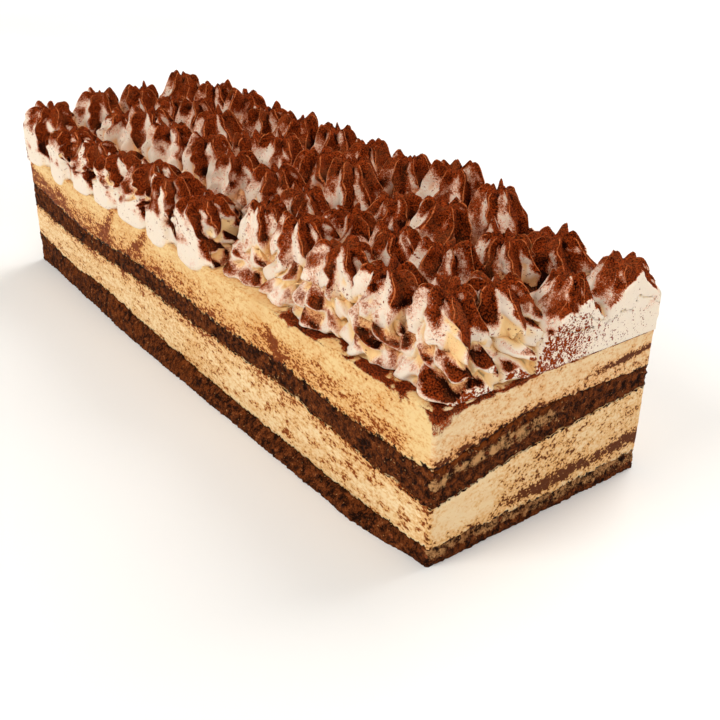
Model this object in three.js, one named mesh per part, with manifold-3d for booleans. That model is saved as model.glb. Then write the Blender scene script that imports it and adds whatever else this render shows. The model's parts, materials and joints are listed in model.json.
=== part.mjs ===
// Tiramisu: a long slab cut from a tray, with two coffee-soaked sponges and two coffee creams,
// under four rows of piped cream rosettes that press flat against each other.
// Millimetres, +Z up, +X along the slab towards its cut end, -Y towards its long front face.
// The origin is the middle of the underside.
import * as THREE from "three";
import { mergeVertices } from "three/addons/utils/BufferGeometryUtils.js";
import Module from "manifold-3d";

// Slab
const SLAB_LENGTH = 300;
const SLAB_WIDTH = 92;
const SLAB_HEIGHT = 52;
const TOUCH_GAP = 0.3;
const STEPS_ALONG = 24;
const STEPS_ACROSS = 6;

// Heights of the three layer boundaries along the front face, at even steps from -X to +X,
// and how far each rises from the front to the back of the cut end
const BASE_TOP = {
  front: [15, 10.6, 11, 8.6, 6.8, 5.2, 5, 4.8, 6.4],
  rise: [0, 0.4, -0.2, 0.6],
};
const SPONGE_BOTTOM = {
  front: [29, 26.4, 26.6, 27.4, 26, 26.2, 26, 22.8, 20.8],
  rise: [0, 5.6, 8.6, 11],
};
const SPONGE_TOP = {
  front: [40, 35.4, 33, 34.8, 34, 32.6, 34.2, 31.8, 33],
  rise: [0, 6.6, 6.8, 6.4],
};
const FAR_SHARE_OF_RISE = 0.3;

// Rosettes: rows run along X, row 1 at the front face, column 1 at the cut end
const ROWS = 4;
const COLUMNS = 12;
const RIBS = 7;
const ROSETTE_RADIUS = 17;
const FREE_END_RADIUS = 13.2;
const FREE_FRONT_RADIUS = 12;
const FRONT_HEIGHT = 26;
const RISE_PER_ROW = 2.2;
const DROP_PER_ROW_AT_CUT_END = 0.6;
const RISE_STARTS_AT = 125;
const RISE_ENDS_AT = 75;
const HEIGHT_SPREAD = 3.2;
const PLACE_SPREAD = 1.6;
const LEAN_SPREAD = 2.2;
const ROW_PITCH = 22;
const COLUMN_PITCH = SLAB_LENGTH / COLUMNS;
const SEED = 386642;

// One rosette's ridge and groove lines, as shares of its radius and height, from foot to crown
const RIDGE = [[0.92, 0], [1, 0.13], [0.8, 0.28], [0.86, 0.38], [0.58, 0.68], [0.4, 0.9], [0.25, 1]];
const GROOVE = [[0.82, 0], [0.86, 0.13], [0.66, 0.28], [0.6, 0.38], [0.36, 0.66], [0.22, 0.83], [0.1, 0.87]];
const CROWN_HOLLOW = 0.86;

// The knife: the far end, the back and the far part of the front are trimmed flush with the slab,
// and so are the rosettes of the two back rows at the cut end
const FRONT_TRIM_BELOW_X = 15;
const TRIMMED_SHIFT = 3.5;
const TRIMMED_FRONT_DROP = 3.0;
const WHOLE_INSET = 1.6;

// Cream dragged down over the front edge by the knife
const TONGUE = { width: 15, thickness: 1.7, drop: 4, rise: 7, proud: 0.8 };
const TONGUE_SIDES = 8;
const TONGUE_RINGS = 6;

// Looks
const CREAM = { color: 0xf0e5d6, roughness: 0.55, metalness: 0 };
const UPPER_COFFEE_CREAM = { color: 0xe0bd82, roughness: 0.6, metalness: 0 };
const LOWER_COFFEE_CREAM = { color: 0xdabc8c, roughness: 0.6, metalness: 0 };
const SOAKED_SPONGE = { color: 0x4a2b1e, roughness: 0.95, metalness: 0 };

// Corners nearer than this are one corner
const MERGE_WITHIN = 1e-3;

const wasm = await Module();
wasm.setup();

// A repeatable random number from 0 to 1, from the usual multiplier and prime
const RANDOM_FACTOR = 16807;
const RANDOM_RANGE = 2147483647;
let state = SEED;
function random() {
  state = (state * RANDOM_FACTOR) % RANDOM_RANGE;
  return state / RANDOM_RANGE;
}

function spread(size) {
  return (random() * 2 - 1) * size;
}

// The height of a smooth line through evenly spaced stations, at a share of its length
function heightAlong(stations, share) {
  const points = stations.map((height, index) => new THREE.Vector2(index, height));
  return new THREE.SplineCurve(points).getPoint(share).y;
}

function boundaryHeight(boundary, x, y) {
  const along = heightAlong(boundary.front, x / SLAB_LENGTH + 0.5);
  const across = heightAlong(boundary.rise, y / SLAB_WIDTH + 0.5);
  const near = THREE.MathUtils.smoothstep(x, 0, SLAB_LENGTH / 2);
  return along + across * THREE.MathUtils.lerp(FAR_SHARE_OF_RISE, 1, near);
}

function mesh(name, geometry, look) {
  geometry.computeVertexNormals();
  const made = new THREE.Mesh(geometry, new THREE.MeshStandardMaterial(look));
  made.name = name;
  return made;
}

// A layer of the slab, between two functions of x and y
function layer(name, bottom, top, look) {
  const box = new THREE.BoxGeometry(SLAB_LENGTH, SLAB_WIDTH, 1, STEPS_ALONG, STEPS_ACROSS, 1);
  box.deleteAttribute("normal");
  box.deleteAttribute("uv");
  const geometry = mergeVertices(box);
  const at = geometry.getAttribute("position");
  for (let i = 0; i < at.count; i++) {
    const height = at.getZ(i) > 0 ? top : bottom;
    at.setZ(i, height(at.getX(i), at.getY(i)));
  }
  return mesh(name, geometry, look);
}

function slab() {
  const above = (boundary) => (x, y) => boundaryHeight(boundary, x, y) + TOUCH_GAP / 2;
  const below = (boundary) => (x, y) => boundaryHeight(boundary, x, y) - TOUCH_GAP / 2;
  const group = new THREE.Group();
  group.add(layer("base_sponge", () => 0, below(BASE_TOP), SOAKED_SPONGE));
  group.add(layer("lower_cream", above(BASE_TOP), below(SPONGE_BOTTOM), LOWER_COFFEE_CREAM));
  group.add(layer("middle_sponge", above(SPONGE_BOTTOM), below(SPONGE_TOP), SOAKED_SPONGE));
  group.add(layer("upper_cream", above(SPONGE_TOP), () => SLAB_HEIGHT, UPPER_COFFEE_CREAM));
  return group;
}

// A closed three.js geometry as a solid that can be cut and joined
function solid(geometry) {
  const bare = geometry.clone();
  bare.deleteAttribute("normal");
  bare.deleteAttribute("uv");
  const merged = mergeVertices(bare, MERGE_WITHIN);
  const corners = Array.from(merged.index.array);
  const triVerts = [];
  for (let i = 0; i < corners.length; i += 3) {
    const [a, b, c] = corners.slice(i, i + 3);
    if (a !== b && b !== c && c !== a) triVerts.push(a, b, c);
  }
  const vertProperties = new Float32Array(merged.getAttribute("position").array);
  return new wasm.Manifold(
    new wasm.Mesh({ numProp: 3, vertProperties, triVerts: new Uint32Array(triVerts) }),
  );
}

function geometryOf(made) {
  const { vertProperties, triVerts } = made.getMesh();
  const geometry = new THREE.BufferGeometry();
  geometry.setAttribute("position", new THREE.BufferAttribute(new Float32Array(vertProperties), 3));
  geometry.setIndex(new THREE.BufferAttribute(new Uint32Array(triVerts), 1));
  return geometry;
}

// A rosette of ridges on the even meridians and grooves on the odd ones, its crown leaning aside.
// Cream that would reach past its cell lies flat against the cell's walls, and a side with no
// neighbour and no trimming stays round.
function rosetteGeometry(plan, cell) {
  const line = (shares) => [[0, 0], ...shares, [0, CROWN_HOLLOW]];
  const ridge = line(RIDGE);
  const groove = line(GROOVE);
  const profile = ridge.map(([r, z]) => new THREE.Vector2(r, z));
  const geometry = new THREE.LatheGeometry(profile, 2 * RIBS);
  const at = geometry.getAttribute("position");
  for (let i = 0; i < at.count; i++) {
    const meridian = Math.floor(i / profile.length) % (2 * RIBS);
    const [r, z] = (meridian % 2 ? groove : ridge)[i % profile.length];
    const angle = plan.turn + (Math.PI * meridian) / RIBS;
    const freeEnd = plan.wholeEnd && Math.sin(angle) > 0;
    const freeFront = plan.wholeFront && Math.cos(angle) > 0;
    const reachX = freeEnd ? FREE_END_RADIUS : ROSETTE_RADIUS;
    const reachY = freeFront ? FREE_FRONT_RADIUS : ROSETTE_RADIUS;
    const x = plan.x + r * reachX * Math.sin(angle) + plan.lean.x * z * z;
    const y = plan.y - r * reachY * Math.cos(angle) + plan.lean.y * z * z;
    at.setXYZ(
      i,
      THREE.MathUtils.clamp(x, cell.min.x, cell.max.x),
      THREE.MathUtils.clamp(y, cell.min.y, cell.max.y),
      SLAB_HEIGHT + TOUCH_GAP + z * plan.height,
    );
  }
  return geometry;
}

// Where a rosette stands and how it is shaped. One that the knife trimmed stands nearer to its edge.
function rosettePlan(row, column) {
  const middle = new THREE.Vector2(
    SLAB_LENGTH / 2 - COLUMN_PITCH * (column + 0.5),
    (row - (ROWS - 1) / 2) * ROW_PITCH,
  );
  const trimmedFront = row === 0 && middle.x < FRONT_TRIM_BELOW_X;
  const wholeFront = row === 0 && !trimmedFront;
  const trimmedEnd = column === 0 && row >= ROWS / 2;
  const wholeEnd = column === 0 && !trimmedEnd;
  const shift = new THREE.Vector2(spread(PLACE_SPREAD), spread(PLACE_SPREAD / 2));
  if (trimmedEnd) shift.x = TRIMMED_SHIFT;
  if (wholeEnd) shift.x = -WHOLE_INSET;
  if (column === COLUMNS - 1) shift.x = -TRIMMED_SHIFT;
  if (trimmedFront) shift.y = -TRIMMED_SHIFT;
  if (wholeFront) shift.y = WHOLE_INSET;
  if (row === ROWS - 1) shift.y = TRIMMED_SHIFT;
  const risen = 1 - THREE.MathUtils.smoothstep(middle.x, RISE_ENDS_AT, RISE_STARTS_AT);
  const rowRise = THREE.MathUtils.lerp(-DROP_PER_ROW_AT_CUT_END, RISE_PER_ROW, risen);
  const drop = trimmedFront && column < COLUMNS - 1 ? TRIMMED_FRONT_DROP : 0;
  return {
    x: middle.x + shift.x,
    y: middle.y + shift.y,
    height: FRONT_HEIGHT + rowRise * row - drop + spread(HEIGHT_SPREAD),
    turn: random() * Math.PI,
    lean: new THREE.Vector2(spread(LEAN_SPREAD), spread(LEAN_SPREAD)),
    trimmedFront,
    wholeFront,
    wholeEnd,
  };
}

// The cream that the knife dragged over the front edge below a trimmed rosette
function tongue(x) {
  const height = TONGUE.drop + TONGUE.rise;
  const blob = new THREE.SphereGeometry(1, TONGUE_SIDES, TONGUE_RINGS);
  blob.scale(TONGUE.width / 2, TONGUE.thickness / 2, height / 2);
  blob.translate(
    x,
    -SLAB_WIDTH / 2 - TOUCH_GAP - TONGUE.thickness / 2,
    SLAB_HEIGHT - TONGUE.drop + height / 2,
  );
  return solid(blob);
}

function rosette(name, plan, cell) {
  const pressed = solid(rosetteGeometry(plan, cell));
  const made = plan.trimmedFront ? pressed.add(tongue(plan.x)) : pressed;
  return mesh(name, geometryOf(made), CREAM);
}

// The floor space that a rosette has between its neighbours and the slab's edges
function cellOf(plans, row, column) {
  const half = TOUCH_GAP / 2;
  const plan = plans[column];
  const nearer = plans[column - 1];
  const farther = plans[column + 1];
  const low = new THREE.Vector2(-SLAB_LENGTH / 2, (row - ROWS / 2) * ROW_PITCH + half);
  const high = new THREE.Vector2(SLAB_LENGTH / 2, (row + 1 - ROWS / 2) * ROW_PITCH - half);
  if (nearer) high.x = (nearer.x + plan.x) / 2 - half;
  if (farther) low.x = (farther.x + plan.x) / 2 + half;
  if (row === 0) low.y = -SLAB_WIDTH / 2 - (plan.trimmedFront ? TONGUE.proud : 0);
  if (row === ROWS - 1) high.y = SLAB_WIDTH / 2;
  return new THREE.Box2(low, high);
}

function topping() {
  const group = new THREE.Group();
  for (let row = 0; row < ROWS; row++) {
    const plans = Array.from({ length: COLUMNS }, (_, column) => rosettePlan(row, column));
    plans.forEach((plan, column) => {
      const name = `rosette_${row + 1}_${column + 1}`;
      group.add(rosette(name, plan, cellOf(plans, row, column)));
    });
  }
  return group;
}

const tiramisu = new THREE.Group();
tiramisu.add(slab());
tiramisu.add(topping());

export default tiramisu;
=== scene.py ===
"""Tiramisu: a long slab of soaked sponge and coffee cream under four rows of piped rosettes.

Laid out as an add-on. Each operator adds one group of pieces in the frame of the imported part:
metres, +Z up, +X towards the cut end, -Y towards the long front face.
"""

import json
import math

import bmesh
import bpy
import numpy as np
from mathutils import Matrix, Vector, noise

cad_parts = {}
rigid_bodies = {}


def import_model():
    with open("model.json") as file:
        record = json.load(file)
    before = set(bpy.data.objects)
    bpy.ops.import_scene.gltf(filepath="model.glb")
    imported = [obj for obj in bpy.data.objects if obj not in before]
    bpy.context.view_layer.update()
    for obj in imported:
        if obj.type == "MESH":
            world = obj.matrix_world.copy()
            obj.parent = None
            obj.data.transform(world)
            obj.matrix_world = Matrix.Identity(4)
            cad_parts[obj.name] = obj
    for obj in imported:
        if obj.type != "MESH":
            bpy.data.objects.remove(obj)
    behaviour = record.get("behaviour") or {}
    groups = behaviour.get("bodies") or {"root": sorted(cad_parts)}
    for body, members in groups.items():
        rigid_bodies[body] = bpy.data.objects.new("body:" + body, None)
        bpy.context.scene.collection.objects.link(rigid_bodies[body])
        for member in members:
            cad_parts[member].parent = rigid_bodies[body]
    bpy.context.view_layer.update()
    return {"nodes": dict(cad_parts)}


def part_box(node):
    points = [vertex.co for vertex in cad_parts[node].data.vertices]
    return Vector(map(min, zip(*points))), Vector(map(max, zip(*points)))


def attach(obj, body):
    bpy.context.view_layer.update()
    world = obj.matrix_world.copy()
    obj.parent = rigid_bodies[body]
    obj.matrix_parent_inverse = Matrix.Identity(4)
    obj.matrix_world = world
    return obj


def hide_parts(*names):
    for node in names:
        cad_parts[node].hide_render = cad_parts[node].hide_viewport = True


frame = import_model()

bl_info = {
    "name": "Tiramisu slab",
    "version": (1, 0, 0),
    "blender": (4, 5, 0),
    "location": "View3D > Sidebar > Tiramisu",
    "description": "Adds a tiramisu slab with soaked sponges, coffee creams and piped rosettes",
    "category": "Add Mesh",
}

MM = 0.001
ROWS = 4
COLUMNS = 12
LAYERS = ("base_sponge", "lower_cream", "middle_sponge", "upper_cream")
SPONGE_SLOT = "soaked_sponge"


def linear(red, green, blue):
    """Linear colour of an eight-bit display colour."""
    shares = [value / 255 for value in (red, green, blue)]
    return tuple(s / 12.92 if s <= 0.04045 else ((s + 0.055) / 1.055) ** 2.4 for s in shares)


def number(name, description, default, **limits):
    return bpy.props.FloatProperty(name=name, description=description, default=default, **limits)


def whole(name, description, default, least=0):
    return bpy.props.IntProperty(name=name, description=description, default=default, min=least)


def length(name, description, millimetres):
    return number(
        name, description, millimetres * MM, min=0.0, subtype="DISTANCE", unit="LENGTH", precision=5)


def angle(name, description, degrees):
    return number(name, description, math.radians(degrees), subtype="ANGLE")


def colour(name, description, red, green, blue):
    """A colour property with a default given as a display colour."""
    return bpy.props.FloatVectorProperty(
        name=name, description=description, default=linear(red, green, blue),
        subtype="COLOR", size=3, min=0.0, max=1.0)


class SlabSettings(bpy.types.PropertyGroup):
    """Sizes and colours of the four layers"""

    step: length("Side step", "Spacing of the points on the cut sides", 0.6)
    sponge_rows: whole("Sponge rows", "Points from a sponge's bottom to its top", 18, 2)
    cream_rows: whole("Cream rows", "Points from a coffee cream's bottom to its top", 28, 2)
    corner: length("Corner", "Radius of the slab's upright corners", 1.2)
    wave: length("Ragged line", "How far the lines between the layers stray", 0.7)
    crumb_relief: length("Crumb relief", "Depth of the crumb on the sponge's cut sides", 1.0)
    cream_relief: length("Cream relief", "Depth of the knife's marks in the creams", 0.16)
    slump: length("Slumped foot", "How far the base sponge spreads under the long front", 4.2)
    upper_cream: colour("Upper cream", "Golden coffee cream under the rosettes", 240, 207, 148)
    upper_deep: colour("Upper cream, soaked", "Where coffee stains the upper cream", 212, 130, 34)
    lower_cream: colour("Lower cream", "Paler coffee cream between the sponges", 248, 220, 172)
    lower_deep: colour("Lower cream, soaked", "Where coffee stains the lower cream", 212, 142, 48)
    end_cream: colour("Cream at the cut end", "Both creams where the end was cut clean", 236, 207, 162)
    sponge_dark: colour("Soaked sponge", "Sponge full of coffee", 26, 8, 2)
    sponge_brown: colour("Sponge crumb", "Lighter crumbs in the soaked sponge", 132, 68, 32)
    sponge_pale: colour("Dry sponge", "Sponge that the coffee didn't reach", 200, 150, 98)
    sponge_toast: colour("Toasted sponge", "Orange-brown line along the top of a sponge", 122, 58, 16)
    loose_crumb: colour("Loose crumb", "Crumbs that came off the sponges", 150, 78, 40)


class RosetteSettings(bpy.types.PropertyGroup):
    """Sizes and colours of the piped cream"""

    ribs: whole("Ribs", "Ridges that the star nozzle leaves", 7, 3)
    steps_per_rib: whole("Steps per rib", "Points round one ridge and groove", 20, 4)
    steps_up: whole("Steps up", "Points from the foot to the crown", 56, 8)
    radius: length("Radius", "Reach of a rosette before its neighbours press it flat", 17.0)
    free_radius: length("Free radius", "Reach of a rosette on the cut end's free side", 16.6)
    front_radius: length("Front radius", "Reach of a whole rosette towards the long front", 13.8)
    tier: number("Tier", "Share of the height that one tier of lobes takes", 0.27, min=0.05)
    lean: length("Lean", "How far a crown leans aside", 2.2)
    drop: length("Dragged cream", "How far the knife dragged cream below the edge", 4.8)
    relief: length("Relief", "Unevenness of the cream", 0.7)
    seed: whole("Seed", "Seed of every random draw", 11)
    cream: colour("Cream", "Whipped cream", 244, 228, 208)
    # Painted shade: the cream is painted this warmer yellow where it lies deep between the ridges, closed
    # off from the sky.
    hollow: colour("Cream in hollows", "Whipped cream deep between the ridges", 250, 214, 156)
    # This colour is thick cocoa and also painted shade: the cocoa is mixed towards it in the hollows.
    cocoa_dark: colour("Cocoa, thick", "Cocoa powder where it lies thick", 32, 7, 1)
    cocoa: colour("Cocoa", "Cocoa powder", 168, 66, 22)
    # This colour is both thin cocoa over the cream and painted light: the painted rim highlight along the
    # crests, lighter grains kept out of the hollows, and painted warm shade in the hollows of the back
    # rows.
    thin_cocoa_and_painted_light: colour("Cocoa, thin", "Cocoa powder on a crest", 228, 130, 76)
    speck: colour("Specks", "Specks of coffee and sponge dragged along the front", 142, 54, 0)
    end_speck: colour("Specks at the end", "Specks of cocoa and sponge on the cut end", 92, 26, 0)


class CrumbSettings(bpy.types.PropertyGroup):
    """Sizes of the loose crumbs and grains"""

    grain: length("Cocoa grain", "Width of a lump of cocoa powder", 0.34)
    grain_density: number("Grain density", "Most lumps of cocoa on a square metre", 420000.0)
    crumb: length("Sponge crumb", "Width of a loose sponge crumb", 1.5)
    crumb_density: number("Crumb density", "Most crumbs on a square metre", 90000.0)


class StageSettings(bpy.types.PropertyGroup):
    """Camera and floor"""

    eye: bpy.props.FloatVectorProperty(
        name="Eye", description="Where the camera stands", subtype="TRANSLATION", unit="LENGTH",
        size=3, default=(0.31393, -0.19766, 0.18208))
    azimuth: angle("Azimuth", "Turn of the view about the upright axis", 52.446)
    elevation: angle("Elevation", "Height of the view above the floor", 27.083)
    roll: angle("Roll", "Turn of the picture", 1.096)
    lens: number("Lens", "Focal length on a 36 mm sensor", 48.42, unit="CAMERA")
    floor: colour("Floor", "Plain pale floor", 244, 243, 240)
    floor_light: colour("Floor, lighter", "Lighter clouds on the floor", 248, 248, 246)
    floor_size: length("Floor size", "Side of the floor", 30000.0)


# Node trees


def reckon(operation, swapped=False):
    """A method that adds one math node, with its values swapped if asked."""

    def method(self, *others):
        return self.nodes.math(operation, *((*others, self) if swapped else (self, *others)))

    return method


class Value:
    """An output in a node tree that can be reckoned with like a number."""

    def __init__(self, nodes, socket):
        self.nodes, self.socket = nodes, socket

    __add__ = __radd__ = reckon("ADD")
    __mul__ = __rmul__ = reckon("MULTIPLY")
    __sub__, __rsub__ = reckon("SUBTRACT"), reckon("SUBTRACT", swapped=True)
    __truediv__, __rtruediv__ = reckon("DIVIDE"), reckon("DIVIDE", swapped=True)
    __pow__, __gt__, __lt__ = reckon("POWER"), reckon("GREATER_THAN"), reckon("LESS_THAN")
    __abs__, sine, cosine = reckon("ABSOLUTE"), reckon("SINE"), reckon("COSINE")
    at_least, at_most = reckon("MAXIMUM"), reckon("MINIMUM")

    def step(self, low, high, first=0.0, second=1.0):
        """A smooth step from first to second between low and high."""
        inputs = dict(enumerate((self, low, high, first, second)))
        return self.nodes.get("ShaderNodeMapRange", inputs, interpolation_type="SMOOTHSTEP")

    def fade(self, low, high):
        """A smooth step from 1 to 0 between low and high."""
        return self.step(low, high, 1.0, 0.0)

    def between(self, first, second):
        """From first to second as this goes from 0 to 1."""
        return first + self * (second - first)


class Nodes:
    """Adds and links the nodes of one tree."""

    def __init__(self, tree):
        self.tree = tree

    def add(self, kind, inputs=None, **settings):
        """A node with its settings, and with its inputs linked or set by name or index."""
        node = self.tree.nodes.new(kind)
        for name, value in settings.items():
            setattr(node, name, value)
        for key, value in (inputs or {}).items():
            self.feed(node.inputs[key], value)
        return node

    def feed(self, socket, value):
        """Links a value to a socket, or sets the socket. A colour gets its alpha."""
        if isinstance(value, Value):
            self.tree.links.new(value.socket, socket)
        else:
            socket.default_value = (*value, 1.0) if socket.type == "RGBA" else value

    def get(self, kind, inputs=None, output=0, **settings):
        """One output of a new node."""
        return Value(self, self.add(kind, inputs, **settings).outputs[output])

    def outputs(self, node):
        return {socket.name: Value(self, socket) for socket in node.outputs}

    def math(self, operation, *values):
        return self.get("ShaderNodeMath", dict(enumerate(values)), operation=operation)

    def vector(self, operation, first, second):
        return self.get("ShaderNodeVectorMath", {0: first, 1: second}, operation=operation)

    def split(self, vector):
        return list(self.outputs(self.add("ShaderNodeSeparateXYZ", {0: vector})).values())

    def join(self, x, y, z):
        return self.get("ShaderNodeCombineXYZ", {0: x, 1: y, 2: z})

    def curve(self, value, heights):
        """A smooth curve through a height at each of the shares in UP."""
        node = self.add("ShaderNodeFloatCurve", {"Value": value})
        line = node.mapping.curves[0]
        for _ in UP[2:]:
            line.points.new(0.5, 0.5)
        for point, share, height in zip(line.points, UP, heights):
            point.location = share, height
        node.mapping.update()
        return Value(self, node.outputs[0])

    def noise(self, vector, scale, detail=2.0, rough=0.5, output=0):
        inputs = {"Vector": vector, "Scale": scale, "Detail": detail, "Roughness": rough}
        return self.get("ShaderNodeTexNoise", inputs, output)

    def jolt(self, vector, scale, size):
        """A random offset, at most about half the size each way."""
        way = self.vector("SUBTRACT", self.noise(vector, scale, output=1), (0.5, 0.5, 0.5))
        return self.get("ShaderNodeVectorMath", {0: way, "Scale": size}, operation="SCALE")

    def mix(self, share, first, second):
        """From one colour to another."""
        return self.get("ShaderNodeMix", {0: share, 6: first, 7: second}, 2, data_type="RGBA")

    def place(self):
        """Where a point of a material lies on its piece."""
        return self.get("ShaderNodeTexCoord", output="Object")

    def mask(self, name):
        """A value kept on the points, in a material."""
        return self.get(
            "ShaderNodeAttribute", output="Fac", attribute_name=name, attribute_type="GEOMETRY")

    def named(self, name, kind="FLOAT"):
        """A value kept on the points, in a geometry tree."""
        return self.get("GeometryNodeInputNamedAttribute", {"Name": name}, "Attribute", data_type=kind)

    def named_xyz(self, name):
        return self.split(self.named(name, "FLOAT_VECTOR"))

    def store(self, geometry, values):
        """The geometry with each value kept on its points."""
        for name, value in values.items():
            inputs = {"Geometry": geometry, "Name": name, "Value": value}
            geometry = self.get(
                "GeometryNodeStoreNamedAttribute", inputs, data_type="FLOAT", domain="POINT")
        return geometry

    def group(self, name, build, inputs):
        """The outputs of a shader group, which is built the first time it is asked for."""
        tree = bpy.data.node_groups.get(name) or build(name)
        return self.outputs(self.add("ShaderNodeGroup", inputs, node_tree=tree))


def new_tree(name, kind, inputs, outputs):
    """An empty tree with its sockets, as its nodes helper and its input values."""
    tree = bpy.data.node_groups.new(name, kind)
    for sockets, way in ((inputs, "INPUT"), (outputs, "OUTPUT")):
        for socket, socket_kind in sockets.items():
            tree.interface.new_socket(socket, in_out=way, socket_type=f"NodeSocket{socket_kind}")
    nodes = Nodes(tree)
    return nodes, nodes.outputs(nodes.add("NodeGroupInput"))


def geometry_tree(name, inputs):
    """A geometry tree with a Geometry input and output and the named inputs."""
    ends = {"Geometry": "Geometry"}
    return new_tree(name, "GeometryNodeTree", {**ends, **inputs}, ends)


def finish_tree(nodes, geometry, material):
    """Realize the instances, give the material and hand the geometry out."""
    for kind, inputs in (
            ("GeometryNodeRealizeInstances", {}), ("GeometryNodeSetMaterial", {"Material": material}),
            ("GeometryNodeSetShadeSmooth", {})):
        geometry = nodes.get(kind, {"Geometry": geometry, **inputs})
    nodes.add("NodeGroupOutput", {"Geometry": geometry})
    return nodes.tree


def grown(name, source, tree, values):
    """The plain mesh that a geometry tree makes from a source mesh."""
    seedling = add_object(f"{name}_source", source)
    modifier = seedling.modifiers.new(tree.name, "NODES")
    modifier.node_group = tree
    for item in tree.interface.items_tree:
        if item.in_out == "INPUT" and item.name in values:
            modifier[item.identifier] = values[item.name]
    graph = bpy.context.evaluated_depsgraph_get()
    mesh = bpy.data.meshes.new_from_object(
        seedling.evaluated_get(graph), preserve_all_data_layers=True, depsgraph=graph)
    seedling.modifiers.remove(modifier)
    bpy.data.objects.remove(seedling)
    mesh.name = name
    if not mesh.polygons:
        raise RuntimeError(f"{name} came out empty")
    return mesh


# Pieces, meshes and masks


def add_object(name, data):
    made = bpy.data.objects.new(name, data)
    bpy.context.collection.objects.link(made)
    return made


def add_piece(name, mesh, replaced=()):
    """Puts a finished mesh in the scene, riding on the part's body."""
    piece = add_object(name, mesh)
    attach(piece, "root")
    if replaced:
        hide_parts(*replaced)


def mesh_from(name, points, faces):
    mesh = bpy.data.meshes.new(name)
    mesh.from_pydata(points.tolist(), [], faces.tolist())
    mesh.shade_smooth()
    return mesh


def read_rows(items, key, count):
    values = np.empty(count * 3, np.float32)
    items.foreach_get(key, values)
    return values.reshape(-1, 3)


def points_of(mesh):
    return read_rows(mesh.vertices, "co", len(mesh.vertices))


def normals_of(mesh):
    return read_rows(mesh.vertex_normals, "vector", len(mesh.vertices))


def set_mask(mesh, name, values):
    layer = mesh.attributes.get(name) or mesh.attributes.new(name, "FLOAT", "POINT")
    layer.data.foreach_set("value", np.asarray(values, np.float32))


def mask_of(mesh, name):
    values = np.empty(len(mesh.vertices), np.float32)
    mesh.attributes[name].data.foreach_get("value", values)
    return values


def soften(mesh, values, rounds):
    """Values evened out between neighbouring points."""
    ends = np.empty(len(mesh.edges) * 2, np.int32)
    mesh.edges.foreach_get("vertices", ends)
    first, second = ends.reshape(-1, 2).T
    size = len(values)
    count = np.bincount(ends, minlength=size)
    for _ in range(rounds):
        total = np.bincount(first, values[second], size) + np.bincount(second, values[first], size)
        values = 0.5 * values + 0.5 * total / np.maximum(count, 1)
    return values


def smooth(values, low, high):
    """A smooth step from 0 to 1 between low and high."""
    share = np.clip((values - low) / (high - low), 0.0, 1.0)
    return share * share * (3 - 2 * share)


def fade(values, low, high):
    """A smooth step from 1 to 0 between low and high."""
    return 1 - smooth(values, low, high)


def hump(values, middle, width):
    """1 at the middle, fading to both sides over the width."""
    return np.exp(-((values - middle) / width) ** 2)


def wavy(points, size, octaves=3):
    """Fractal noise from about -1 to 1 at each point, with features of the given size."""
    scaled = np.asarray(points, float) / size
    return np.array([noise.fractal(Vector(p), 1.0, 2.0, octaves) for p in scaled])


def cells(points, size):
    """Distance to the nearest of the scattered cell middles, in cells."""
    scaled = np.asarray(points, float) / size
    return np.array([noise.voronoi(Vector(p))[0][0] for p in scaled])


# Shader groups and materials. Noise scales are features in a metre.


def cocoa_dusting_group(name):
    """Cocoa powder with a ragged, grainy edge where the amount is high, painted darker as shade in the
    hollows and given a painted rim highlight on the crests.
    """
    nodes, given = new_tree(
        name, "ShaderNodeTree",
        {"Amount": "Float", "Crest": "Float", "Deep": "Float",
         "Thick": "Color", "Plain": "Color", "Thin": "Color"},
        {"Cover": "Float", "Film": "Float", "Colour": "Color", "Height": "Float"})
    place = nodes.place()
    broad = nodes.noise(place, 110.0, 1.0)
    patch = nodes.noise(place, 300.0, 3.0, 0.55)
    ragged = nodes.noise(place, 1300.0, 3.0, 0.6)
    clump = nodes.noise(place, 2100.0, 2.0, 0.7)
    grain = nodes.noise(place, 4200.0, 2.0, 0.7)
    spread = given["Amount"] + (broad - 0.5) * 0.9 + (patch - 0.5) * 0.3
    amount = spread + (ragged - 0.5) * 0.65 + (grain - 0.5)
    cover = amount.step(0.43, 0.54)
    thick = spread.step(0.42, 0.75)
    # The powder darkens where it lies thick, and also as painted shade where it lies in a hollow.
    dark = thick * 0.38 + thick * given["Deep"] * 0.9 + (clump - 0.5) * 2.2
    dark = dark + (0.5 - grain) * 1.4 + (patch - 0.5) * 0.5
    powder = nodes.mix(dark.step(-0.05, 0.72), given["Plain"], given["Thick"])
    # Painted rim highlight: a thin lighter line along the crests, standing in for a back light on the
    # ridges. The bloom is lighter grains in broad patches, kept out of the hollows.
    lit = given["Crest"].step(0.35, 0.9) * ragged.step(0.3, 0.6)
    bloom = broad.step(0.48, 0.75) * grain.step(0.42, 0.62) * given["Deep"].step(0.2, 0.7, 0.25, 0.0)
    nodes.add("NodeGroupOutput", {
        "Cover": cover, "Film": amount.step(0.18, 0.45), "Height": cover * (0.4 + grain * 0.6),
        "Colour": nodes.mix(lit.at_least(bloom), powder, given["Thin"])})
    return nodes.tree


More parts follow.
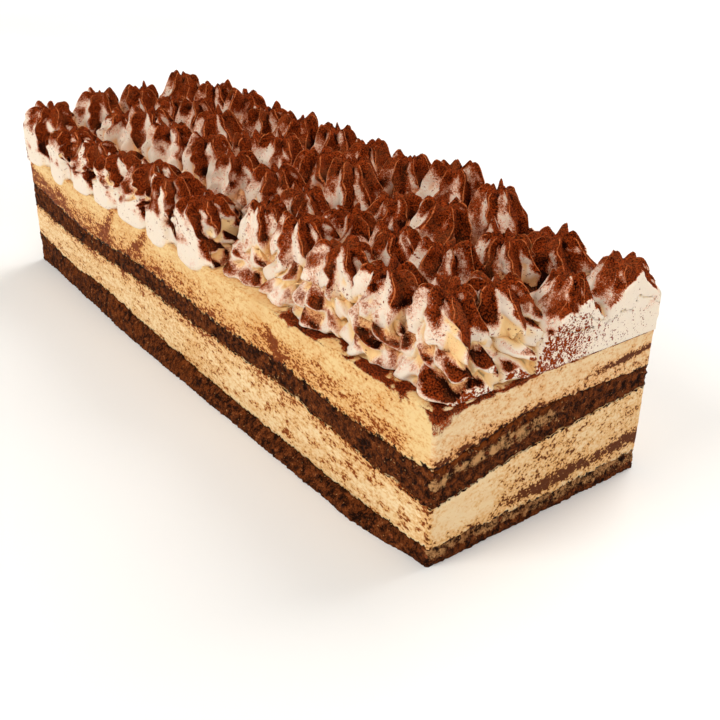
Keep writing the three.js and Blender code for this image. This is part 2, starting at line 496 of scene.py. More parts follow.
def speck_group(name):
    """Coffee, cocoa and crumbs that the knife dragged along: a stain with dark specks in it."""
    nodes, given = new_tree(
        name, "ShaderNodeTree", {"Density": "Float", "Fineness": "Float", "Stretch": "Vector"},
        {"Film": "Float", "Cover": "Float", "Core": "Float"})
    place = nodes.place()
    drawn = nodes.vector("MULTIPLY", place, given["Stretch"])
    streaks = nodes.noise(drawn, given["Fineness"])
    grain_place = nodes.vector("MULTIPLY", place, (0.6, 0.8, 1.0))
    grains = nodes.noise(grain_place, given["Fineness"] * 2.7, 3.0, 0.65)
    patch = nodes.noise(drawn, 110.0, 3.0)
    level = given["Density"].at_most(1.3) - 0.78 + (streaks - 0.5) * 1.5
    level = level + (grains - 0.5) * 3.0 + (patch - 0.5)
    nodes.add("NodeGroupOutput", {
        "Film": level.step(-0.75, 0.25), "Cover": level.step(0.08, 0.24), "Core": level.step(0.22, 0.5)})
    return nodes.tree


def crumb_group(name):
    """Open sponge crumb: dark soaked pores between lighter crumbs."""
    nodes, given = new_tree(
        name, "ShaderNodeTree",
        {"Dry": "Float", "Soaked colour": "Color", "Crumb colour": "Color", "Dry colour": "Color"},
        {"Colour": "Color", "Height": "Float"})
    place = nodes.place()
    crumb = nodes.noise(place, 420.0, 4.0, 0.62) * 0.6 + nodes.noise(place, 1700.0, 3.0, 0.65) * 0.4
    soaked = nodes.mix(crumb.step(0.4, 0.66), given["Soaked colour"], given["Crumb colour"])
    fleck = nodes.noise(place, 950.0, 1.0).step(0.72, 0.77) * 0.8
    dry = (given["Dry"] + (crumb - 0.5) * 2.6).step(0.25, 0.85).at_least(fleck)
    nodes.add("NodeGroupOutput", {
        "Colour": nodes.mix(dry, soaked, given["Dry colour"]), "Height": crumb})
    return nodes.tree


def cocoa_node(nodes, settings, amount, crest, deep):
    return nodes.group("Cocoa dusting", cocoa_dusting_group, {
        "Amount": amount, "Crest": crest, "Deep": deep, "Thick": settings.cocoa_dark,
        "Plain": settings.cocoa, "Thin": settings.thin_cocoa_and_painted_light})


def speck_node(nodes, fineness, stretch):
    return nodes.group("Dragged specks", speck_group, {
        "Density": nodes.mask("specks"), "Fineness": fineness, "Stretch": stretch})


def crumb_node(nodes, settings, dry, crumb_colour):
    return nodes.group("Sponge crumb", crumb_group, {
        "Dry": dry, "Soaked colour": settings.sponge_dark,
        "Crumb colour": crumb_colour, "Dry colour": settings.sponge_pale})


def new_material(name):
    """A new material and its nodes helper."""
    made = bpy.data.materials.new(name)
    made.use_nodes = True
    return made, Nodes(made.node_tree)


def finish_material(made, nodes, inputs, relief=None, depth=0.0):
    """Sets the shader's inputs, and raises the surface by the relief."""
    shader = made.node_tree.nodes["Principled BSDF"]
    if relief is not None:
        bump = nodes.get("ShaderNodeBump", {"Height": relief, "Distance": depth})
        inputs = {**inputs, "Normal": bump}
    for key, value in inputs.items():
        nodes.feed(shader.inputs[key], value)
    return made


def piped_cream_material(settings):
    """Whipped cream, painted yellower in its hollows as shade, under a dusting of cocoa."""
    made, nodes = new_material("piped_cream_with_cocoa")
    place, hollow = nodes.place(), nodes.mask("hollow")
    along, across, _ = nodes.split(place)
    # Painted shade: the cream goes yellower, and the cocoa darker, where the point lies deep between the
    # ridges, closed off from the sky.
    deep = hollow + (nodes.noise(place, 220.0, 3.0) - 0.5) * 0.4
    cream = nodes.mix(deep.step(0.3, 0.95), settings.cream, settings.hollow)
    cocoa = cocoa_node(nodes, settings, nodes.mask("dust"), nodes.mask("crest"), hollow)
    specks = speck_node(nodes, 560.0, (1.0, 1.0, 0.8))["Cover"]
    # Painted shade: in the rows behind, the cream's hollows get a warm orange tint, mixed in with the
    # thin cocoa film.
    behind = across.step(-36 * MM, 0.0) * along.fade(108 * MM, 130 * MM)
    shaded = deep.step(0.2, 0.8, 0.0, 0.7) * behind
    veil = (cocoa["Film"] * nodes.mask("veil")).at_least(shaded)
    cream = nodes.mix(veil, cream, settings.thin_cocoa_and_painted_light)
    speck = [sum(pair) / 2 for pair in zip(settings.end_speck, settings.cocoa)]
    cream = nodes.mix(specks, cream, speck)
    return finish_material(made, nodes, {
        "Base Color": nodes.mix(cocoa["Cover"], cream, cocoa["Colour"]),
        "Roughness": cocoa["Cover"].at_least(specks).between(0.46, 0.95),
        "Subsurface Weight": 0.16, "Subsurface Radius": (1.0, 0.75, 0.45),
        "Subsurface Scale": 1.8 * MM, "Specular IOR Level": 0.03,
    }, cocoa["Height"] * 0.8 + nodes.noise(place, 1500.0) * 0.25, 0.6 * MM)


def coffee_cream_material(name, plain, deep, clean, fineness, settings):
    """Coffee cream with stains, dragged specks and cocoa along its top edge."""
    made, nodes = new_material(name)
    place, cut_clean = nodes.place(), nodes.mask("clean")
    cloud = nodes.noise(place, 60.0, 3.0, 0.55)
    drag = nodes.noise(nodes.vector("MULTIPLY", place, (0.25, 0.25, 1.0)), 520.0, 3.0, 0.6)
    face = nodes.mix(cut_clean, plain, clean)
    face = nodes.mix((cloud * 0.6 + drag * 0.4).step(0.42, 0.75, 0.0, 0.35), face, deep)
    specks = speck_node(nodes, fineness, (0.28, 0.6, 1.0))
    cream = nodes.mix(specks["Film"] * 0.75, face, deep)
    speck = nodes.mix(cut_clean, settings.speck, settings.end_speck)
    speck = nodes.mix(specks["Core"] * 0.4, speck, settings.cocoa_dark)
    cream = nodes.mix(specks["Cover"] * 0.94, cream, speck)
    torn = nodes.mask("beside_sponge") + (nodes.noise(place, 520.0, 4.0, 0.65) - 0.5) * 2.4
    cream = nodes.mix(torn.step(0.6, 0.75), cream, settings.cocoa_dark)
    cocoa = cocoa_node(nodes, settings, nodes.mask("dust"), 0.0, 0.1)
    cover = cocoa["Cover"]
    return finish_material(made, nodes, {
        "Base Color": nodes.mix(cover, cream, cocoa["Colour"]), "Roughness": cover.between(0.5, 0.9),
        "Subsurface Weight": 0.08, "Subsurface Radius": (1.0, 0.6, 0.3),
        "Subsurface Scale": 1.2 * MM, "Specular IOR Level": 0.05,
    }, drag * 0.6 + nodes.noise(place, 900.0, 3.0, 0.6) * 0.3 + cover * 0.4, 0.5 * MM)


def sponge_material(settings):
    """Sponge, dark where coffee soaked it and pale where it stayed dry."""
    made, nodes = new_material("soaked_sponge_crumb")
    crumb = crumb_node(nodes, settings, nodes.mask("dry"), settings.sponge_brown)
    toast = nodes.mask("toast") * crumb["Height"].step(0.35, 0.55)
    return finish_material(made, nodes, {
        "Base Color": nodes.mix(toast, crumb["Colour"], settings.sponge_toast),
        "Roughness": crumb["Height"].step(0.3, 0.7, 0.6, 0.95), "Specular IOR Level": 0.04,
    }, crumb["Height"], 1.2 * MM)


def loose_crumb_material(settings):
    """Loose crumbs, lighter and redder than the soaked sponge."""
    made, nodes = new_material("loose_sponge_crumbs")
    crumb = crumb_node(nodes, settings, 0.0, settings.loose_crumb)
    return finish_material(made, nodes, {
        "Base Color": crumb["Colour"], "Roughness": crumb["Height"].step(0.3, 0.7, 0.7, 0.95),
        "Specular IOR Level": 0.1,
    }, crumb["Height"], 0.6 * MM)


def cocoa_material(settings):
    """Lumps of cocoa powder."""
    made, nodes = new_material("cocoa_lumps")
    cocoa = cocoa_node(nodes, settings, 1.0, 0.0, 0.2)
    return finish_material(made, nodes, {
        "Base Color": cocoa["Colour"], "Roughness": cocoa["Height"].step(0.3, 1.0, 0.85, 1.0),
        "Specular IOR Level": 0.15})


# Slab layers


def layer_grid(node):
    """Bottom and top heights of a layer on its own grid of x and y."""
    points = np.round(points_of(frame["nodes"][node].data).astype(float), 6)
    xs = np.unique(points[:, 0])
    ys = np.unique(points[:, 1])
    bottom = np.full((len(xs), len(ys)), np.inf)
    top = np.full((len(xs), len(ys)), -np.inf)
    at = np.searchsorted(xs, points[:, 0]), np.searchsorted(ys, points[:, 1])
    np.minimum.at(bottom, at, points[:, 2])
    np.maximum.at(top, at, points[:, 2])
    return xs, ys, bottom, top


def smooth_along(values, share):
    """Values between even stations, by a smooth curve through all of them."""
    last = len(values) - 1
    place = np.clip(share, 0.0, 1.0) * last
    index = np.minimum(place.astype(int), last - 1)
    t = (place - index)[:, None]
    before, first = values[np.maximum(index - 1, 0)], values[index]
    second, after = values[index + 1], values[np.minimum(index + 2, last)]
    return first + 0.5 * t * (second - before + t * (
        2 * before - 5 * first + 4 * second - after + t * (3 * (first - second) + after - before)))


BLOCK = 512


def height_over(grid, xs, ys, x, y):
    """Height of a smooth surface through a grid of heights."""
    across = smooth_along(grid.T, (y - ys[0]) / (ys[-1] - ys[0]))
    picked = np.empty(len(x))
    for start in range(0, len(x), BLOCK):
        block = slice(start, start + BLOCK)
        share = (x[block] - xs[0]) / (xs[-1] - xs[0])
        rows = smooth_along(across[block].T, share)
        picked[block] = rows[np.arange(len(share)), np.arange(len(share))]
    return picked


class Outline:
    """The slab's outline seen from above, with its inset loops."""

    def __init__(self, low, high, settings):
        self.middle = (low + high) / 2
        self.half = (high - low) / 2
        self.corner = settings.corner
        sides = []
        for size in (self.half.x, self.half.y):
            steps = round(2 * size / settings.step)
            sides.append((np.linspace(-1, 1, steps, endpoint=False), np.ones(steps)))
        (along, long_edge), (across, short_edge) = sides
        self.shares = np.concatenate([
            np.stack([along, -long_edge], 1), np.stack([short_edge, across], 1),
            np.stack([-along, long_edge], 1), np.stack([-short_edge, -across], 1)])

    def loop(self, inset):
        """Points of the loop that lies this far inside the outline."""
        half = np.array([self.half.x - inset, self.half.y - inset])
        points = self.shares * half
        radius = min(self.corner, max(half[1], 0.0))
        if radius > 0:
            past = np.maximum(np.abs(points) - (half - radius), 0.0) / radius
            both = (past > 0).all(1)
            turn = np.where(past[:, 0] < past[:, 1], past[:, 0], 2 - past[:, 1]) * math.pi / 4
            arc = np.stack([np.sin(turn), np.cos(turn)], 1)
            points[both] = (np.sign(points) * (half - radius + radius * arc))[both]
        return points + np.array([self.middle.x, self.middle.y])

    def outward(self):
        edge = self.loop(0.0)
        tangent = np.roll(edge, -1, 0) - np.roll(edge, 1, 0)
        normal = np.stack([tangent[:, 1], -tangent[:, 0]], 1)
        return normal / np.linalg.norm(normal, axis=1)[:, None]


CAP_INSETS = [0.5 * MM, 1.0 * MM, 1.6 * MM, 2.4 * MM, 4.0 * MM, 8.0 * MM, 18.0 * MM]
MERGE_DISTANCE = 1e-6
NO_LENGTH = 1e-7


def merge_doubles(mesh):
    """Closes the ridge where the inmost loop folds onto itself."""
    work = bmesh.new()
    work.from_mesh(mesh)
    bmesh.ops.remove_doubles(work, verts=work.verts, dist=MERGE_DISTANCE)
    bmesh.ops.dissolve_degenerate(work, edges=work.edges, dist=NO_LENGTH)
    work.to_mesh(mesh)
    work.free()


def layer_mesh(name, outline, bottom, top, rows, relief):
    """A closed layer: cut sides with relief between two wavy surfaces, and both caps.

    Each point keeps its share of the layer's height and whether it is on a side."""
    edge, outward = outline.loop(0.0), outline.outward()
    count = len(edge)
    low, high = bottom(edge), top(edge)
    loops, shares, sides = [], [], []

    def add_loop(points, share, side):
        loops.append(points)
        shares.append(np.full(count, share))
        sides.append(np.full(count, side))

    def add_cap(surface, insets, share):
        for inset in insets:
            flat = outline.loop(inset)
            add_loop(np.column_stack([flat, surface(flat)]), share, 0.0)

    insets = CAP_INSETS + [outline.half.y]
    add_cap(bottom, reversed(insets), 0.0)
    for share in np.linspace(0, 1, rows):
        upright = np.column_stack([edge, low + (high - low) * share])
        upright[:, :2] += outward * relief(upright, share)[:, None]
        add_loop(upright, share, 1.0)
    add_cap(top, insets, 1.0)
    first = np.arange(len(loops) - 1)[:, None] * count
    here = np.arange(count)[None, :]
    beside = (here + 1) % count
    faces = np.stack([first + here, first + beside, first + beside + count, first + here + count], -1)
    mesh = mesh_from(name, np.concatenate(loops), faces.reshape(-1, 4))
    set_mask(mesh, "share", np.concatenate(shares))
    set_mask(mesh, "side", np.concatenate(sides))
    merge_doubles(mesh)
    return mesh


class Slab:
    """The four layers' heights from the frame, with the ragged lines that they share."""

    def __init__(self, settings):
        self.settings = settings
        self.grids = {name: layer_grid(name) for name in LAYERS}
        self.outline = Outline(*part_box("base_sponge"), settings)
        self.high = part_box("upper_cream")[1]

    def surface(self, name, upper):
        """The height of a layer's top or bottom at each flat point."""
        xs, ys, bottom, top = self.grids[name]
        grid = top if upper else bottom
        outer = name == ("upper_cream" if upper else "base_sponge")

        def at(flat):
            height = height_over(grid, xs, ys, flat[:, 0], flat[:, 1])
            if outer:
                return height
            line = np.column_stack([flat, np.full(len(flat), round(float(grid.mean()), 2))])
            return height + self.settings.wave * (wavy(line, 7 * MM) + wavy(line, 2.2 * MM))

        return at

    def places(self, points):
        """How much of each point belongs to the cut end, and its millimetres along and across."""
        end = smooth(points[:, 0], self.high.x - 2.0 * MM, self.high.x - 0.6 * MM)
        return end, points[:, 0] / MM, points[:, 1] / MM

    def add_layer(self, name, piece, slot, finish, rows, relief, masks):
        """Adds one layer as a piece, with the masks that its material reads."""
        mesh = layer_mesh(
            piece, self.outline, self.surface(name, False), self.surface(name, True), rows, relief)
        points = points_of(mesh)
        given = masks(points, mask_of(mesh, "share"), mask_of(mesh, "side"), *self.places(points))
        for key, values in given.items():
            set_mask(mesh, key, values)
        mesh.materials.append(finish)
        add_piece(piece, mesh, [name])


# In the masks, along, across, height and below are millimetres, and share and up go from 0 at the
# bottom of a layer or rosette to 1 at its top.


def middle_sponge_masks(points, share, side, end, along, across):
    """A dry core and a toasted top, both at the cut end."""
    share = share + 0.2 * wavy(points, 5 * MM)
    core = smooth(share, 0.34, 0.5) * fade(share, 0.72, 0.84)
    left = fade(across, -8, 18)
    return {
        "dry": end * core * left * (0.56 + 0.5 * wavy(points, 3 * MM, 2)),
        "toast": end * smooth(share, 0.7, 0.95) * (0.2 + 0.6 * left)}


def base_sponge_masks(points, share, side, end, along, across):
    """Sponge that is a little drier at the cut end, with toasted patches."""
    share = share + 0.2 * wavy(points, 5 * MM)
    return {
        "dry": 0.05 + end * 0.4 * smooth(share, 0.2, 0.6),
        "toast": 0.3 * smooth(wavy(points, 16 * MM, 2), 0.1, 0.6)}


class TIRAMISU_OT_sponges(bpy.types.Operator):
    """Adds the two coffee-soaked sponges with their open crumb"""

    bl_idname = "tiramisu.add_sponges"
    bl_label = "Soaked sponges"

    def execute(self, context):
        settings = context.scene.tiramisu_slab
        slab, sponge = Slab(settings), sponge_material(settings)

        def crumbly(points, share):
            crumb = wavy(points, 1.7 * MM)
            pores = np.minimum(cells(points, 1.6 * MM), 0.6) - 0.3
            swell = wavy(points, 12 * MM, 2)
            return settings.crumb_relief * (0.4 * crumb - 0.6 * pores + 0.5 * swell)

        def slumped(points, share):
            """Crumb on the soft foot that spreads under the long front, away from both corners."""
            along, across = points[:, 0] / MM, points[:, 1] / MM
            middle = smooth(along, -150, -20) * fade(along, 118, 150)
            foot = settings.slump * middle * fade(across, -45.5, -44) * (1 - share ** 2)
            return crumbly(points, share) + foot

        for name, relief, masks in (
                ("base_sponge", slumped, base_sponge_masks),
                ("middle_sponge", crumbly, middle_sponge_masks)):
            slab.add_layer(
                name, f"{name}_crumb", SPONGE_SLOT, sponge, settings.sponge_rows, relief, masks)
        return {"FINISHED"}


# Coffee smears on the front face: two points as millimetres along and up, and a width
FRONT_SMEARS = (
    ((-26, 49), (-41, 36), 2.6), ((-56, 50), (-68, 37), 2.8), ((66, 44), (72, 35), 2.4),
    ((-150, 47), (-124, 41), 3.0), ((-118, 45), (-108, 39), 2.0))
# Both corners of the cut end, as millimetres along and across
NEAR_CORNER = (150, -46)
FAR_CORNER = (150, 46)


def near_line(along, up, first, second, width):
    """1 on a straight smear between two points of the front face, fading over its width."""
    first, second = np.array(first, float), np.array(second, float)
    point = np.stack([along, up], 1) - first
    run = second - first
    share = np.clip(point @ run / (run @ run), 0.0, 1.0)
    return np.exp(-(np.linalg.norm(point - share[:, None] * run, axis=1) / width) ** 2)


def near_corner(along, across, corner, spread):
    """1 at a corner of the cut end, fading around it."""
    return np.exp(-((along - corner[0]) ** 2 + (across - corner[1]) ** 2) / spread)


def upper_cream_masks(points, share, side, end, along, across):
    """Stains, specks and edge cocoa of the cream under the rosettes."""
    long_faces = 1 - end
    height = points[:, 2] / MM
    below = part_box("upper_cream")[1].z / MM - height
    near = smooth(along, 62, 82)
    edge = 0.5 + 0.9 * near * long_faces + 5.0 * near_corner(along, across, NEAR_CORNER, 12)
    edge += 2.6 * end * fade(across, -34, 0)
    edge += 2.6 * hump(along, 77, 3.5) * long_faces + 1.8 * hump(along, 134, 5) * long_faces
    dust = 1.05 - below / np.maximum(edge * (1 + 1.1 * wavy(points, 5 * MM)), 0.2)
    bare = hump(along, 141, 3.5) * fade(across, -38, -30) * long_faces
    on_top = np.maximum(near * (1 - 0.8 * bare), end * fade(across, -5, 20))
    on_top = np.maximum(on_top, smooth(across, -38, -32))
    flat = np.clip(0.82 + 1.3 * wavy(points, 6 * MM), 0, 1)
    dust = np.where(below < 0.05, flat, dust) * (0.2 + 0.8 * on_top)
    left = fade(across, -10, 15)
    streak = end * smooth(across, 14, 24) * hump(below + 0.06 * (across - 30), 6.6, 1.3)
    front = long_faces * fade(across, -44, -36)
    smears = sum(near_line(along, height, *line) for line in FRONT_SMEARS) * front
    long_side = (0.3 + 0.62 * fade(share, 0.1, 0.85)) * (1 - 0.7 * smooth(along, 132, 144))
    long_side += 0.14 * fade(along, -70, -30) * (1 - share)
    end_side = 0.3 + 0.4 * fade(share, 0.0, 0.5) + 0.5 * fade(share, 0.05, 0.24) * left
    return {
        "beside_sponge": side * (0.8 - share * (5.0 + 3.0 * end * (1 - left))),
        "dust": np.clip(dust, 0, 1),
        "specks": long_faces * long_side + 0.8 * smears + 1.1 * streak + end * end_side,
        "clean": end}


def lower_cream_masks(points, share, side, end, along, across):
    """Stains and specks of the cream between the sponges."""
    patch = end * fade(across, -24, -16) * smooth(share, 0.12, 0.3)
    streak = end * smooth(across, -22, 0) * hump(share - 0.05 * smooth(across, 0, 40), 0.2, 0.085)
    clumps = smooth(wavy(points * np.array([0.6, 0.6, 1.0]), 2.8 * MM, 2), 0.06, 0.3)
    clumps *= smooth(share, 0.04, 0.2) * fade(share, 0.6, 0.8)
    long_side = 0.5 + 0.36 * smooth(share, 0.62, 1.0) + 0.05 * smooth(along, -20, 60)
    long_side += smooth(along, 0, 50) * (0.45 * clumps - 0.09)
    end_side = 0.62 - 0.52 * patch
    dragged = end * hump(across, -46.5, 1.8)
    return {
        "beside_sponge": side * (0.75 - np.minimum(share, 1 - share) * 9.0),
        "dust": np.zeros(len(points)),
        "specks": (1 - end) * long_side + end * end_side + 1.15 * streak + 0.7 * dragged,
        "clean": end}


class TIRAMISU_OT_creams(bpy.types.Operator):
    """Adds the two coffee creams with their stains and specks"""

    bl_idname = "tiramisu.add_creams"
    bl_label = "Coffee creams"

    def execute(self, context):
        settings, rosettes = context.scene.tiramisu_slab, context.scene.tiramisu_rosettes
        slab = Slab(settings)

        def knife_marks(points, share):
            drawn = points * np.array([0.3, 0.3, 1.0])
            return settings.cream_relief * (wavy(points, 9 * MM, 2) + 0.7 * wavy(drawn, 1.6 * MM))

        for level, plain, deep, fineness, masks in (
                ("upper", settings.upper_cream, settings.upper_deep, 500.0, upper_cream_masks),
                ("lower", settings.lower_cream, settings.lower_deep, 400.0, lower_cream_masks)):
            name = f"{level}_coffee_cream"
            finish = coffee_cream_material(name, plain, deep, settings.end_cream, fineness, rosettes)
            slab.add_layer(
                f"{level}_cream", f"{level}_cream_cut", name, finish, settings.cream_rows,
                knife_marks, masks)
        return {"FINISHED"}


# Piped rosettes. Lines from foot to crown, as shares of the radius and of the height.

UP = (0, 0.05, 0.11, 0.18, 0.26, 0.33, 0.40, 0.48, 0.56, 0.64, 0.72, 0.79, 0.86, 0.91, 0.95, 0.98, 1)
DOMED_REACH = (
    0.84, 0.96, 1.0, 1.0, 0.96, 0.90, 0.86, 0.86, 0.84, 0.80, 0.74, 0.66, 0.56, 0.46, 0.36, 0.22, 0.04)
TENTED_REACH = (
    0.84, 0.96, 1.0, 0.98, 0.92, 0.85, 0.80, 0.76, 0.71, 0.64, 0.57, 0.50, 0.43, 0.37, 0.29, 0.19, 0.04)
RIDGE_RISE = (
    0, 0.03, 0.09, 0.17, 0.26, 0.33, 0.385, 0.45, 0.53, 0.62, 0.72, 0.81, 0.91, 0.97, 0.985, 0.96, 0.90)
GROOVE_REACH = (
    0.82, 0.86, 0.84, 0.78, 0.70, 0.62, 0.57, 0.55, 0.52, 0.48, 0.43, 0.37, 0.31, 0.25, 0.19, 0.11, 0.02)
GROOVE_RISE = (
    0, 0.03, 0.08, 0.15, 0.24, 0.31, 0.37, 0.44, 0.53, 0.63, 0.73, 0.82, 0.89, 0.915, 0.92, 0.91, 0.895)


def rosette_tree():
    """Rosettes from one star-nozzle shape: one for each point, fitted to the point's own sizes."""
    nodes, given = geometry_tree("Piped rosettes", {
        "Ribs": "Int", "Steps per rib": "Int", "Steps up": "Int", "Radius": "Float",
        "Free radius": "Float", "Front radius": "Float", "Tier": "Float", "Relief": "Float",
        "Material": "Material"})
    named, xyz = nodes.named, nodes.named_xyz
    barrel = nodes.get("GeometryNodeMeshCylinder", {
        "Vertices": given["Ribs"] * given["Steps per rib"], "Side Segments": given["Steps up"],
        "Radius": 1.0, "Depth": 1.0}, "Mesh", fill_type="TRIANGLE_FAN")
    x, y, z = nodes.split(nodes.get("GeometryNodeInputPosition"))
    barrel = nodes.store(barrel, {
        "up": z + 0.5, "around": nodes.math("ARCTAN2", x, y), "rim": x * x + y * y > 0.25})
    placed = nodes.get("GeometryNodeInstanceOnPoints", {"Points": given["Geometry"], "Instance": barrel})
    real = nodes.get("GeometryNodeRealizeInstances", {"Geometry": placed})

    # Each rosette's own unevenness
    up, around, rim, draw = named("up"), named("around"), named("rim"), named("draw", "FLOAT_VECTOR")

    def wander(climb, scale, detail=1.0):
        ring = nodes.join(around.sine(), around.cosine(), climb)
        return nodes.noise(nodes.vector("ADD", ring, draw), scale, detail) - 0.5

    uneven = wander(up * 0.9, 1.5, 2.0)
    tips, slump, waver = (wander(0.0, scale) for scale in (2.2, 1.1, 1.9))
    tier = up + slump * (up * (1.0 - up)) * 1.3
    ruffle = (up * 40.0 + uneven * 14.0 + around * 3.0).sine() * up.step(0.4, 0.55) * up.fade(0.84, 0.97)
    twist = named("twist") * up.step(0.16, 0.56)
    fold = named("fold") * (up * 9.0).sine()
    angle_out = around + named("turn") + twist + fold + uneven * 0.55 + ruffle * 0.04
    east, north = angle_out.sine(), angle_out.cosine()

    # Where the knife trimmed the front, and where it cut a wall
    hung = named("drop") > 0.0
    pressed = hung * north.fade(-0.6, -0.1)
    cut = xyz("cut")
    walled = (cut[0] * east).at_least(cut[1] * north).step(0.1, 0.5) * up.fade(0.62, 0.84)

    # Tiers of lobes below, ridges and grooves above
    under = (0.5 + waver * 0.55 - tier) / given["Tier"]
    below, shelf = under > 0.0, under.at_least(-0.5)
    pillow = pressed.at_least(walled).between(abs((shelf * math.pi).sine()), 1.0)
    overhang = ((shelf.at_most(0.0) + 0.5) * math.tau).sine()
    stagger = under.step(-0.08, 0.1) + under.step(0.92, 1.1)
    half_turn = around * (given["Ribs"] / 2.0) + stagger * (math.pi / 2)
    off_ridge, off_groove = abs(half_turn.sine()), abs(half_turn.cosine())
    blunt = up.step(0.80, 0.95, 1.3, 1.5)
    groove = under.fade(-0.3, 0.1).between(1.0 - off_groove, off_ridge ** blunt)
    groove = groove * (1.0 - (pressed * below * 0.7).at_least(walled * 0.96))
    shoulder = named("shoulder") + uneven * 1.5
    reach = shoulder.between(nodes.curve(tier, TENTED_REACH), nodes.curve(tier, DOMED_REACH))
    reach = groove.between(reach, nodes.curve(tier, GROOVE_REACH))
    rise = groove.between(nodes.curve(up, RIDGE_RISE), nodes.curve(up, GROOVE_RISE))
    swell = (pillow - 0.8) * up.step(0.0, 0.08) * 0.26
    frill = ruffle * (1.0 - groove) * up.step(0.7, 0.88, 0.045, 0.0)
    reach = reach * rim * (1.0 + uneven * 0.32 + swell + frill)
    rise = rise * (1.0 + tips * 0.34 * (up.step(0.45, 0.88) * up.fade(0.92, 1.0)))
    sag = (overhang * 0.08 + pillow * below * 0.06) * up.step(0.0, 0.12) * (1.0 - pressed)
    rise = (rise - sag).at_least(0.0)

    # Reach towards the free sides, the near corner and the cut walls
    free = xyz("free")
    free_east, free_south = free[0] * (east > 0.0), free[1] * (north < 0.0)
    reach_x = free_east.between(given["Radius"], given["Free radius"])
    reach_y = free_south.between(given["Radius"], given["Front radius"])
    reach = reach * (1.0 + abs(free_east * free_south * east * north * 2.0) * 0.36)
    has_cut = (abs(cut[0]) + cut[1]).at_most(1.0)
    reach = reach * (1.0 + has_cut * up.step(0.45, 0.75, 0.24, 0.0))

    # The rosette at home, pressed flat against its neighbours and the knife's cuts
    home, lean, low, high, soft = xyz("home"), xyz("lean"), xyz("low"), xyz("high"), xyz("soft")
    bend = rise * rise
    at_x = home[0] + reach * reach_x * east + lean[0] * bend
    at_y = home[1] + reach * reach_y * north + lean[1] * bend
    at_z = home[2] + rise * named("height")
    at_x = nodes.math("SMOOTH_MAX", at_x, low[0], 1.2 * MM)
    at_x = nodes.math("SMOOTH_MIN", at_x, high[0], soft[0])
    at_y = nodes.math("SMOOTH_MAX", at_y, low[1], soft[1])
    at_y = nodes.math("SMOOTH_MIN", at_y, high[1], soft[2])

    # Tongues of cream that hang over the trimmed front
    on_front = (at_y - low[1]).fade(0.3 * MM, 2.5 * MM)
    over = (at_x - home[0] - named("tongue")) / ((1.0 + uneven * 0.5) * named("tongue_width"))
    rounded = (1.0 - over * over).at_least(0.0) ** 0.7
    at_z = at_z - named("drop") * (on_front * rounded * up.fade(0.02, 0.34))
    tucked = on_front * up.step(0.0, 0.08, 0.9 * MM, 0.0) * hung
    gap = hung * on_front * abs(over).step(0.75, 1.2) * up.fade(0.35, 0.6)
    at_y = at_y + tucked + gap * (2.4 * MM)

    place = nodes.join(at_x, at_y, at_z)
    relief = given["Relief"] * up.step(0.0, 0.08) * rim * up.step(0.25, 0.55, 1.7, 1.0)
    uneven_place = nodes.vector("ADD", place, nodes.jolt(place, 190.0, relief))
    shaped = nodes.get("GeometryNodeSetPosition", {"Geometry": real, "Position": uneven_place})
    shaped = nodes.store(shaped, {
        # The crest mask marks the ridge tops where the material paints a rim highlight.
        "crest": off_ridge.fade(0.0, 0.19) * up.step(0.5, 0.72) * up.fade(0.92, 0.98),
        "ridge": off_ridge.fade(0.0, 0.5) * up.step(0.45, 0.75), "gap": gap})
    return finish_tree(nodes, shaped, given["Material"])


# Sizes that fit a rosette between its neighbours and the knife's cuts
TONGUE_SHOWS = 0.5 * MM
END_GAP = 0.1 * MM
CROWN_DEPTH = 4.5 * MM
PRESSED_EDGE = 1.5 * MM
CUT_EDGE = 0.25 * MM
SLOPED_EDGE = 5.0 * MM
APART = 0.08 * MM
MERGED = 3.0 * MM
MERGED_AT_WALL = 8.0 * MM
TONGUE_PROUD = 0.8 * MM
WHOLE_INSET = 0.3 * MM


def crown_middle(node, top):
    """The middle of the points near the top of a rosette's solid."""
    points = points_of(frame["nodes"][node].data)
    picked = points[points[:, 2] > top - CROWN_DEPTH]
    return Vector((picked.min(0) + picked.max(0)) / 2)


